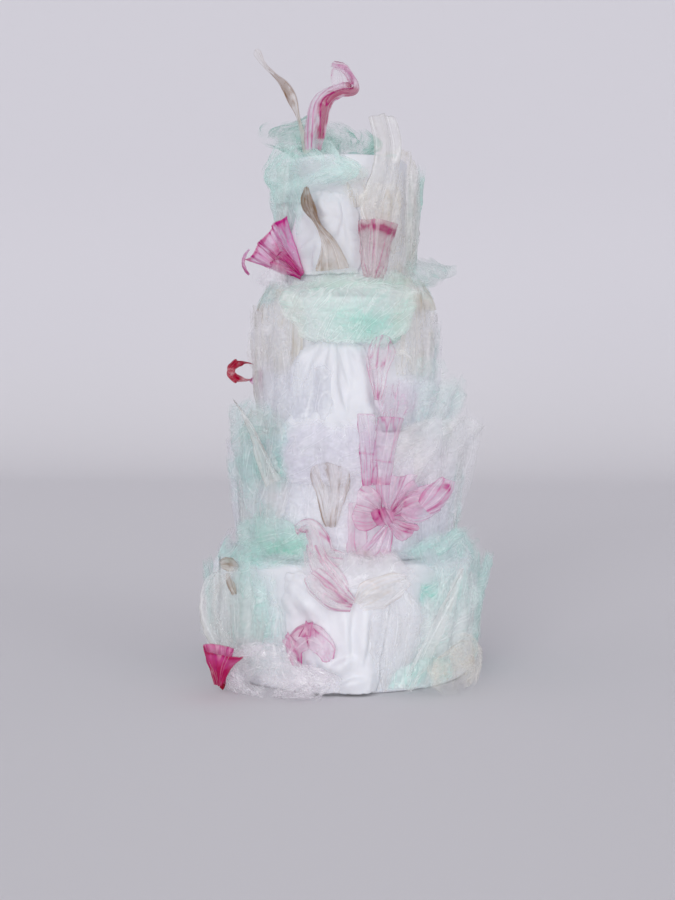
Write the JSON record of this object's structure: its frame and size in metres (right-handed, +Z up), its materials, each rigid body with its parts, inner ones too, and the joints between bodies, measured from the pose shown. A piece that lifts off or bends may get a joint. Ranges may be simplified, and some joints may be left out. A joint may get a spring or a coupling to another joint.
{
  "type": "wedding cake",
  "caption": "Tall round tiered wedding cake in white fondant, dressed with draped fondant and thin translucent wafer sails, curls and ruffles in mint, pink and cream.",
  "frame": {"origin": "centre of the bottom tier's underside, where the cake rests", "axes": "+Z up; the side that is dressed the most, its front, faces -Y; +X is to the right as seen from the front"},
  "size_m": [0.2723, 0.2869, 0.5927],
  "materials": {
    "fondant": "satin",
    "mint": "crumpled translucent gloss",
    "clear": "translucent gloss",
    "cream": "translucent gloss",
    "beige": "translucent gloss",
    "pink": "translucent gloss",
    "magenta": "translucent gloss",
    "crimson": "gloss",
    "lilac": "crumpled translucent gloss"
  },
  "bodies": {
    "root": {"tier_1": "fondant", "tier_2": "fondant", "tier_3": "fondant", "tier_4": "fondant", "fondant_drape_top": "fondant", "cream_fold_back": "cream", "fondant_drape_back": "fondant", "clear_fold_right": "clear", "pink_cone": "pink", "mint_floss_top": "mint", "magenta_fan": "magenta", "beige_twist": "beige", "mint_leaf_right": "mint", "cream_panel_left": "cream", "cream_panel_right": "cream", "clear_panel_back": "clear", "cream_panel_back": "cream", "fondant_drape_middle": "fondant", "mint_drape_upper": "mint", "mint_drape_back": "mint", "clear_panel_far_left": "clear", "lilac_veil_right": "lilac", "pink_edge_curl": "pink", "crimson_curl": "crimson", "pink_ruffle_back": "pink", "mint_veil_back": "mint", "clear_veil_back": "clear", "mint_sail_left": "mint", "mint_sail_right": "mint", "beige_fan": "beige", "white_sail_right": "clear", "clear_spike_left": "clear", "pink_tube_left": "pink", "pink_tube_right": "pink", "mint_sail_low_left": "mint", "pink_strip": "pink", "mint_brim_right": "mint", "pink_petal_left": "pink", "pink_petal_right": "pink", "magenta_petal_low": "magenta", "pink_petal_lobe": "pink", "pink_rope": "pink", "magenta_fan_back": "magenta", "fondant_front": "fondant", "fondant_panel_back": "fondant", "mint_sail_back": "mint", "mint_sheet_left": "mint", "mint_sail_base_right": "mint", "clear_sail_front": "clear", "clear_loop_right": "clear", "pink_bow_left": "pink", "cream_bow_right": "cream", "clear_loop_left": "clear", "pink_arch": "pink", "lilac_floss_base": "lilac", "cream_crumple_right": "cream", "magenta_funnel": "magenta", "mint_cloud_top": "mint", "beige_spike": "beige", "pink_ribbon_top": "pink"}
  },
  "joints": []
}
